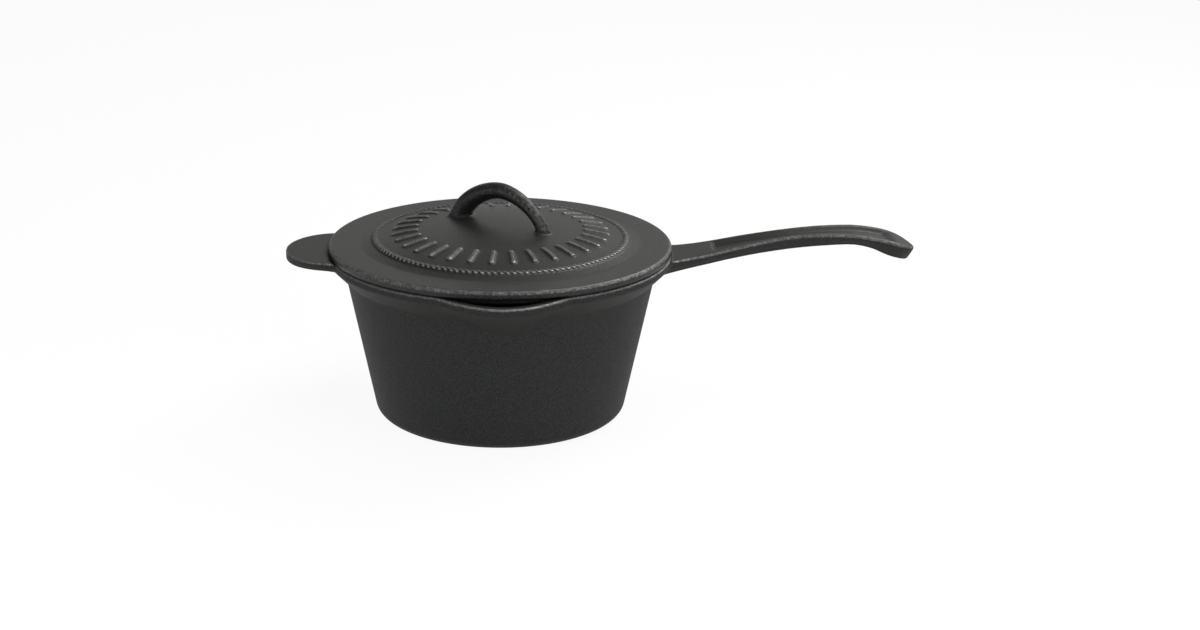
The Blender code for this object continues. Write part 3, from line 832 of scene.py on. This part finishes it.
def loop_tree():
    """A straight line bent to an arch by a rule, then swept with a round bar."""
    tree, start, end = new_geometry_tree("arched loop", {
        "Half Span": ("float", 0.03), "Rise": ("float", 0.02), "Foot Height": ("float", 0.1),
        "Azimuth": ("float", 0.0), "Arch Power": ("float", 1.0), "Bar Radius": ("float", 0.004),
        "Taper": ("float", 0.0), "Foot Flare": ("float", 0.0), "Flare Height": ("float", 0.004),
        "Material": ("material", None)})
    given = start.outputs
    line = add_node(tree, "GeometryNodeCurvePrimitiveLine")
    points = add_node(tree, "GeometryNodeResampleCurve", Curve=line.outputs[0], Count=LOOP_POINTS)
    along = add_node(tree, "GeometryNodeSplineParameter").outputs["Factor"]
    # From just above the dome on one side to just above it on the other
    turn = add_math(tree, "MULTIPLY_ADD", along, LOOP_SWEEP_DEGREES, LOOP_START_DEGREES)
    turn = add_math(tree, "RADIANS", turn)
    cosine = add_math(tree, "COSINE", turn)
    sine = add_math(tree, "SINE", turn)
    share = add_math(tree, "MULTIPLY", add_math(tree, "SIGN", cosine),
                     add_math(tree, "POWER", add_math(tree, "ABSOLUTE", cosine), given["Arch Power"]))
    reach = add_math(tree, "MULTIPLY", share, given["Half Span"])
    lift = add_math(tree, "MULTIPLY", add_math(tree, "POWER", sine, given["Arch Power"]), given["Rise"])
    height = add_math(tree, "ADD", given["Foot Height"], lift)
    x = add_math(tree, "MULTIPLY", reach, add_math(tree, "COSINE", given["Azimuth"]))
    y = add_math(tree, "MULTIPLY", reach, add_math(tree, "SINE", given["Azimuth"]))
    arch = add_node(tree, "GeometryNodeSetPosition", Geometry=points.outputs[0],
                    Position=join_xyz(tree, x, y, height))
    fall = add_math(tree, "DIVIDE", lift, given["Flare Height"])
    spread = add_math(tree, "EXPONENT", add_math(tree, "MULTIPLY", fall, -1.0))
    spread = add_math(tree, "ADD", 1.0, add_math(tree, "MULTIPLY", spread, given["Foot Flare"]))
    thinning = add_math(tree, "SUBTRACT", 1.0, add_math(tree, "MULTIPLY", share, given["Taper"]))
    profile = add_node(tree, "GeometryNodeCurvePrimitiveCircle", Resolution=LOOP_SIDES,
                       Radius=given["Bar Radius"])
    bar = add_node(tree, "GeometryNodeCurveToMesh", Curve=arch.outputs[0], Profile_Curve=profile.outputs[0],
                   Scale=add_math(tree, "MULTIPLY", spread, thinning), Fill_Caps=True)
    end_tree(tree, start, end, bar.outputs[0])
    return tree


loop = run_tree(loop_tree(), {
    "Half Span": LOOP_HALF_SPAN, "Rise": LOOP_TOP - 0.5 * LOOP_BAR - LOOP_FOOT, "Foot Height": LOOP_FOOT,
    "Azimuth": LOOP_AZIMUTH, "Arch Power": LOOP_ARCH_POWER, "Bar Radius": 0.5 * LOOP_BAR,
    "Taper": LOOP_TAPER, "Foot Flare": LOOP_FOOT_FLARE, "Flare Height": LOOP_FLARE_HEIGHT,
    "Material": LID_IRON,
}, "loop")

# %% [markdown]
# The raised ornament
#
# A lid like this carries raised work, cut into the mould. Here it is a plain ornament: a rope border of
# slanting beads near the dome's edge and a ring of radial bars inside it. Both are one small shape that
# repeats, so each is a ring of instances, tilted to the dome's slope. Instances share one mesh, which keeps
# a tree light, and Realize Instances turns them into plain faces at its end.

# %% Scatter the ornament with Geometry Nodes
ROPE_RADIUS = 0.0735
ROPE_BEADS = 132
ROPE_BEAD_SIZE = (0.0052, 0.0026, 0.0012)
ROPE_SLANT = math.radians(36.0)
BAR_COUNT = 32
BAR_RADIUS = 0.0560
BAR_SIZE = (0.0160, 0.0032, 0.0013)
BEAD_SEGMENTS = 16
BEAD_RINGS = 8


def ornament_tree():
    """Rounded bars in a ring; Size is length, width and how far they stand proud."""
    tree, start, end = new_geometry_tree("ring of bars", {
        "Count": ("int", 12), "Ring Radius": ("float", 0.05), "Ring Height": ("float", 0.1),
        "Slope": ("float", 0.0), "Size": ("vector", (0.01, 0.002, 0.001)), "Slant": ("float", 0.0),
        "Turn": ("float", 0.0), "Material": ("material", None)})
    given = start.outputs
    length, width, proud = split_xyz(tree, given["Size"])
    bead = add_node(tree, "GeometryNodeMeshUVSphere", Segments=BEAD_SEGMENTS, Rings=BEAD_RINGS, Radius=0.5)
    along, across, up = split_xyz(tree, own_position(tree))
    # The bead's two halves are pulled apart, so a long bar keeps round ends
    stretch = add_math(tree, "SUBTRACT", length, width)
    stretch = add_math(tree, "MULTIPLY", add_math(tree, "SIGN", along), stretch)
    x = add_math(tree, "MULTIPLY_ADD", along, width, add_math(tree, "MULTIPLY", stretch, 0.5))
    y = add_math(tree, "MULTIPLY", across, width)
    z = add_math(tree, "MULTIPLY", up, add_math(tree, "MULTIPLY", proud, 2.0))
    bar = add_node(tree, "GeometryNodeSetPosition", Geometry=bead.outputs["Mesh"],
                   Position=join_xyz(tree, x, y, z))
    slanted = add_node(tree, "GeometryNodeTransform", Geometry=bar.outputs[0],
                       Rotation=join_xyz(tree, z=given["Slant"]))
    ring = add_node(tree, "GeometryNodeMeshCircle", Vertices=given["Count"], Radius=given["Ring Radius"])
    lifted = add_node(tree, "GeometryNodeTransform", Geometry=ring.outputs[0],
                      Translation=join_xyz(tree, z=given["Ring Height"]),
                      Rotation=join_xyz(tree, z=given["Turn"]))
    spot_x, spot_y, _ = split_xyz(tree, own_position(tree))
    azimuth = add_math(tree, "ARCTAN2", spot_y, spot_x)
    bars = add_node(tree, "GeometryNodeInstanceOnPoints", Points=lifted.outputs[0],
                    Instance=slanted.outputs[0], Rotation=join_xyz(tree, y=given["Slope"], z=azimuth))
    end_tree(tree, start, end, bars.outputs[0])
    return tree


bars_in_ring = ornament_tree()


def make_ring(name, count, radius, size, slant):
    """The ring is turned by half a step, as the solid's bars are."""
    return run_tree(bars_in_ring, {
        "Count": count, "Ring Radius": radius, "Ring Height": dome_height(radius), "Size": size,
        "Slope": math.asin(radius / DOME_SPHERE), "Slant": slant, "Turn": math.pi / count,
        "Material": LID_IRON}, name)


rope = make_ring("rope_border", ROPE_BEADS, ROPE_RADIUS, ROPE_BEAD_SIZE, math.pi / 2.0 - ROPE_SLANT)
bars = make_ring("radial_bars", BAR_COUNT, BAR_RADIUS, BAR_SIZE, 0.0)

# %% [markdown]
# Casting the pieces
#
# The design surfaces still pass through each other. A voxel remesh reads them as one solid and gives it
# one skin, as the mould does. A node tree then fettles that skin: it smooths the grid's traces and fills
# sharp inside corners, which is where a founder puts a fillet. It also measures how far each point stands
# out of its surroundings and stores that as rub, the places where a hand and a shelf wear iron bright.

# %% Build the rule that fettles a casting
SMOOTHING_STRENGTH = 0.8
FILLET_ROUNDS = 3


def vector_math(tree, operation, first, second):
    """Two vectors through a Vector Math node; its outputs are a vector and a value."""
    node = add_node(tree, "ShaderNodeVectorMath", {"operation": operation})
    feed(tree, node.inputs[0], first)
    feed(tree, node.inputs[1], second)
    return node.outputs


def scaled(tree, vector, factor):
    node = add_node(tree, "ShaderNodeVectorMath", {"operation": "SCALE"}, Vector=vector, Scale=factor)
    return node.outputs[0]


def pull_to_mean(tree, passes):
    """The way from a point to the mean place of its neighbours, taken over a number of passes."""
    position = own_position(tree)
    blur = add_node(tree, "GeometryNodeBlurAttribute", {"data_type": "FLOAT_VECTOR"}, Iterations=passes)
    feed(tree, value_socket(blur), position)
    mean = next(socket for socket in blur.outputs if socket.enabled)
    return vector_math(tree, "SUBTRACT", mean, position)["Vector"]


def standing_in(tree, passes):
    """How far a point lies below its surroundings, along its own normal; negative where it stands out."""
    normal = add_node(tree, "GeometryNodeInputNormal").outputs[0]
    return vector_math(tree, "DOT_PRODUCT", pull_to_mean(tree, passes), normal)["Value"], normal


def fettle_tree():
    """Smooths the skin, fills its inside corners and stores as rub how far each point stands out."""
    tree, start, end = new_geometry_tree("fettle and measure", {
        "Geometry": ("geometry", None), "Smoothing Passes": ("int", 3), "Fillet Passes": ("int", 30),
        "Fillet Free": ("float", 0.0001), "Rub Passes": ("int", 8), "Rub Start": ("float", 0.0),
        "Rub Full": ("float", 0.0002), "Material": ("material", None)})
    given = start.outputs
    pull = scaled(tree, pull_to_mean(tree, given["Smoothing Passes"]), SMOOTHING_STRENGTH)
    smooth = add_node(tree, "GeometryNodeSetPosition", Geometry=given["Geometry"], Offset=pull)
    body = smooth.outputs[0]
    for _ in range(FILLET_ROUNDS):
        hollow, normal = standing_in(tree, given["Fillet Passes"])
        fill = add_math(tree, "MAXIMUM", add_math(tree, "SUBTRACT", hollow, given["Fillet Free"]), 0.0)
        filled = add_node(tree, "GeometryNodeSetPosition", Geometry=body, Offset=scaled(tree, normal, fill))
        body = filled.outputs[0]
    hollow, _ = standing_in(tree, given["Rub Passes"])
    proud = add_math(tree, "SUBTRACT", add_math(tree, "MULTIPLY", hollow, -1.0), given["Rub Start"])
    rub_span = add_math(tree, "SUBTRACT", given["Rub Full"], given["Rub Start"])
    kept = add_node(tree, "GeometryNodeStoreNamedAttribute", {"data_type": "FLOAT", "domain": "POINT"},
                    Geometry=body, Name="rub")
    feed(tree, value_socket(kept), add_math(tree, "DIVIDE", proud, rub_span, clamp=True))
    end_tree(tree, start, end, kept.outputs[0])
    return tree


fettle = fettle_tree()
print("fettling rule:", len(fettle.nodes), "nodes")

# %% Helpers for casting
MOST_TRIANGLES = 190000


def merged_mesh(name, parts):
    """One mesh from several closed parts; the parts are thrown away."""
    builder = bmesh.new()
    for part in parts:
        builder.from_mesh(part.data)
        bpy.data.objects.remove(part, do_unlink=True)
    mesh = bpy.data.meshes.new(name)
    builder.to_mesh(mesh)
    builder.free()
    return mesh


def keep_largest_body(mesh):
    """The remesh can leave a closed bubble where two parts nearly touch; only the casting is kept."""
    builder = bmesh.new()
    builder.from_mesh(mesh)
    builder.verts.ensure_lookup_table()
    seen = bytearray(len(builder.verts))
    bodies = []
    for first in builder.verts:
        if seen[first.index]:
            continue
        seen[first.index] = 1
        body = [first]
        for vert in body:
            for edge in vert.link_edges:
                other = edge.other_vert(vert)
                if not seen[other.index]:
                    seen[other.index] = 1
                    body.append(other)
        bodies.append(body)
    bodies.sort(key=len)
    for body in bodies[:-1]:
        bmesh.ops.delete(builder, geom=body, context="VERTS")
    builder.to_mesh(mesh)
    builder.free()
    return [len(body) for body in bodies[:-1]]


def cast(name, parts, voxel, fettling, material):
    """Fuse parts to one casting, fettle it and thin its mesh to fewer triangles than the limit."""
    source = bpy.data.objects.new(name + "_mould", merged_mesh(name + "_mould", parts))
    bpy.context.scene.collection.objects.link(source)
    remesh = source.modifiers.new("one skin", "REMESH")
    remesh.mode = "VOXEL"
    remesh.voxel_size = voxel
    remesh.use_smooth_shade = True
    rule = source.modifiers.new("fettle", "NODES")
    rule.node_group = fettle
    set_inputs(rule, fettle, {**fettling, "Material": material})
    dense = mesh_from(source, name + "_dense")
    bubbles = keep_largest_body(dense.data)
    triangles = sum(len(polygon.vertices) - 2 for polygon in dense.data.polygons)
    thin = dense.modifiers.new("fewer faces", "DECIMATE")
    thin.ratio = min(1.0, MOST_TRIANGLES / triangles)
    made = mesh_from(dense, name)
    print(name, "cast:", triangles, "triangles thinned to", len(made.data.polygons))
    print("bubbles taken out:", bubbles, "material:", made.data.materials[0].name)
    return made


# %% Cast the pan and the lid
PAN_VOXEL = 0.00055
LID_VOXEL = 0.00050
PAN_FETTLING = {"Fillet Passes": 30, "Fillet Free": 0.00050, "Rub Start": 0.00006, "Rub Full": 0.00022}
LID_FETTLING = {"Fillet Passes": 24, "Fillet Free": 0.00016, "Rub Start": 0.00004, "Rub Full": 0.00020}

pan = cast("iron_pan", [bowl, handle, tab], PAN_VOXEL, PAN_FETTLING, PAN_IRON)
lid = cast("iron_lid", [plate, loop, rope, bars], LID_VOXEL, LID_FETTLING, LID_IRON)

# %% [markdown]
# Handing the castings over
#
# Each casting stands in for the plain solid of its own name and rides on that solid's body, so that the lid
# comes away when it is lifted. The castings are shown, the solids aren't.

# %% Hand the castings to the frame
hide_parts("pan")
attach(pan, "pan")
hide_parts("lid")
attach(lid, "lid")
print("handed over:", pan.name, "and", lid.name)

# %% [markdown]
# Floor and light
#
# The photograph shows the pan on plain white, lit by soft boxes. Matt black iron is drawn mostly by what it
# mirrors, so each lamp has one part of it to draw. The key and top boxes light the lid from above, the left
# and right boxes stand low in front and put a gleam on its edge, and the back box is what the flat lid and
# the handle mirror. The floor is a wide pale disc that the camera, and rays mirrored in the iron, see
# lifted almost to white; the little that isn't lifted keeps the pan's shadow.

# %% Lay the floor and light the scene
FLOOR_RADIUS = 14.0
FLOOR_SEGMENTS = 96
FLOOR_DROP = 0.0003
FLOOR_COLOUR = (0.90, 0.90, 0.90, 1.0)
FLOOR_ROUGHNESS = 0.9
FLOOR_SPECULAR = 0.2
FLOOR_LIFT = 0.93
WORLD_COLOUR = (1.0, 1.0, 1.0, 1.0)
WORLD_STRENGTH = 0.12
# Each soft box is its name, its place, the height that it looks at, its width and height, its power
SOFT_BOXES = (
    ("key_box", (0.85, 0.65, 1.15), 0.08, (0.7, 0.7), 14.0),
    ("top_box", (0.25, -0.15, 1.3), 0.08, (1.0, 0.8), 9.0),
    ("left_box", (-0.98, -0.66, 0.46), 0.10, (0.6, 0.4), 5.0),
    ("right_box", (0.78, -0.98, 0.44), 0.10, (0.9, 0.45), 8.0),
    ("back_box", (0.3, 1.9, 0.95), 0.10, (2.6, 1.1), 6.5),
)


def floor_paint():
    """Pale matt paint, which the camera sees lifted to white, with the object's shadow kept."""
    material = bpy.data.materials.new("pale_floor")
    material.use_nodes = True
    tree = material.node_tree
    shader = tree.nodes["Principled BSDF"]
    shader.inputs["Base Color"].default_value = FLOOR_COLOUR
    shader.inputs["Roughness"].default_value = FLOOR_ROUGHNESS
    shader.inputs["Specular IOR Level"].default_value = FLOOR_SPECULAR
    glow = add_node(tree, "ShaderNodeEmission", Strength=1.0)
    rays = add_node(tree, "ShaderNodeLightPath").outputs
    mirrored = add_math(tree, "ADD", rays["Is Glossy Ray"], rays["Is Transmission Ray"])
    seen = add_math(tree, "ADD", rays["Is Camera Ray"], mirrored, clamp=True)
    mix = add_node(tree, "ShaderNodeMixShader", Fac=add_math(tree, "MULTIPLY", seen, FLOOR_LIFT))
    tree.links.new(shader.outputs[0], mix.inputs[1])
    tree.links.new(glow.outputs[0], mix.inputs[2])
    tree.links.new(mix.outputs[0], tree.nodes["Material Output"].inputs["Surface"])
    return material


def make_floor():
    """A disc just under the pan's foot; the frame keeps it out of the object's own size."""
    builder = bmesh.new()
    bmesh.ops.create_circle(builder, cap_ends=True, segments=FLOOR_SEGMENTS, radius=FLOOR_RADIUS)
    bmesh.ops.translate(builder, verts=builder.verts, vec=(0.0, 0.0, -FLOOR_DROP))
    mesh = bpy.data.meshes.new("floor")
    builder.to_mesh(mesh)
    builder.free()
    floor = bpy.data.objects.new("floor", mesh)
    bpy.context.scene.collection.objects.link(floor)
    mesh.materials.append(floor_paint())


def add_soft_box(name, place, target_height, size, power):
    light = bpy.data.lights.new(name, "AREA")
    light.shape = "RECTANGLE"
    light.size, light.size_y = size
    light.energy = power
    lamp = bpy.data.objects.new(name, light)
    bpy.context.scene.collection.objects.link(lamp)
    lamp.location = place
    aim = Vector((0.0, 0.0, target_height)) - Vector(place)
    lamp.rotation_euler = aim.to_track_quat("-Z", "Y").to_euler()


def light_the_room():
    """A faint even light from all round fills what the soft boxes leave dark."""
    world = bpy.data.worlds.new("white_room")
    world.use_nodes = True
    background = world.node_tree.nodes["Background"]
    background.inputs["Color"].default_value = WORLD_COLOUR
    background.inputs["Strength"].default_value = WORLD_STRENGTH
    bpy.context.scene.world = world


make_floor()
for soft_box in SOFT_BOXES:
    add_soft_box(*soft_box)
light_the_room()
bpy.context.scene.view_settings.view_transform = "Standard"
print("floor radius", FLOOR_RADIUS, "soft boxes", len(SOFT_BOXES), "world", WORLD_STRENGTH)
